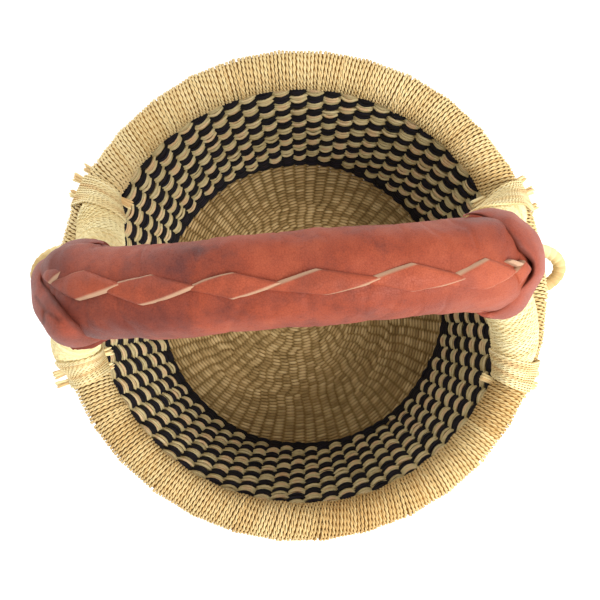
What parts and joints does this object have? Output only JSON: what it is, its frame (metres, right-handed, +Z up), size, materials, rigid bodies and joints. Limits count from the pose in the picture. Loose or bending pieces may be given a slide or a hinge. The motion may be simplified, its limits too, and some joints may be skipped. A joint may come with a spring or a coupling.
{
  "type": "bolga basket",
  "caption": "Round twined straw basket with a checkered wall, a thick bound rim, a leather-covered handle forked onto the rim, and small hanging loops.",
  "frame": {"origin": "centre of the flat underside of the base, at the level on which the basket stands", "axes": "+Z up, +X towards the right end of the handle, +Y towards the back"},
  "size_m": [0.3884, 0.3414, 0.3215],
  "materials": {
    "base_straw": "matt twined natural straw, greyed in the shade of the basket",
    "border_straw": "matt straw dyed black",
    "wall_straw": "matt natural and black-dyed straw, woven in checks",
    "rim_straw": "pale yellow straw with a faint sheen, twisted in two plies",
    "leg_straw": "pale yellow straw with a faint sheen, fine two-ply twist",
    "lashing_straw": "pale yellow to pinkish tan straw, frayed at the cut ends",
    "loop_straw": "pale yellow flat straw bands",
    "core_grass": "dry grass bundle",
    "leather": "soft red-brown vegetable-tanned leather, mottled and creased",
    "lace_leather": "brighter red-brown leather thong with pale raw edges"
  },
  "bodies": {
    "basket": {"base_mat": "base_straw", "base_border": "border_straw", "wall_weave": "wall_straw", "rim_binding": "rim_straw", "rim_bundle": "core_grass", "handle_bundle": "core_grass", "grip_cover": "leather", "grip_lacing": "lace_leather", "fork_cover_left": "leather", "fork_cover_right": "leather", "leg_bundle_left_back": "core_grass", "leg_binding_left_back": "leg_straw", "foot_lashing_left_back": "lashing_straw", "lashing_end_left_back_outer_1": "lashing_straw", "lashing_end_left_back_outer_2": "lashing_straw", "lashing_end_left_back_outer_3": "lashing_straw", "lashing_end_left_back_inner_1": "lashing_straw", "leg_bundle_left_front": "core_grass", "leg_binding_left_front": "leg_straw", "foot_lashing_left_front": "lashing_straw", "lashing_end_left_front_outer_1": "lashing_straw", "lashing_end_left_front_outer_2": "lashing_straw", "lashing_end_left_front_inner_1": "lashing_straw", "lashing_end_left_front_inner_2": "lashing_straw", "leg_bundle_right_back": "core_grass", "leg_binding_right_back": "leg_straw", "foot_lashing_right_back": "lashing_straw", "lashing_end_right_back_outer_1": "lashing_straw", "lashing_end_right_back_outer_2": "lashing_straw", "lashing_end_right_back_outer_3": "lashing_straw", "lashing_end_right_back_inner_1": "lashing_straw", "leg_bundle_right_front": "core_grass", "leg_binding_right_front": "leg_straw", "foot_lashing_right_front": "lashing_straw", "lashing_end_right_front_outer_1": "lashing_straw", "lashing_end_right_front_outer_2": "lashing_straw", "lashing_end_right_front_outer_3": "lashing_straw", "lashing_end_right_front_inner_1": "lashing_straw"},
    "hanging_loop_left": {"hanging_loop_binding_left": "loop_straw", "hanging_loop_bundle_left": "core_grass"},
    "hanging_loop_right": {"hanging_loop_binding_right": "loop_straw", "hanging_loop_bundle_right": "core_grass"}
  },
  "joints": [
    {"name": "hanging_loop_left_swing", "type": "hinge", "parent": "basket", "child": "hanging_loop_left", "pos_m": [-0.15369, 0.01345, 0.128], "axis": [-0.0872, -0.9962, 0], "range_deg": [0, 60], "stiffness_Nm_per_rad": 0.12},
    {"name": "hanging_loop_right_swing", "type": "hinge", "parent": "basket", "child": "hanging_loop_right", "pos_m": [0.15376, 0.01888, 0.128], "axis": [-0.1219, 0.9925, 0], "range_deg": [0, 60], "stiffness_Nm_per_rad": 0.12}
  ]
}
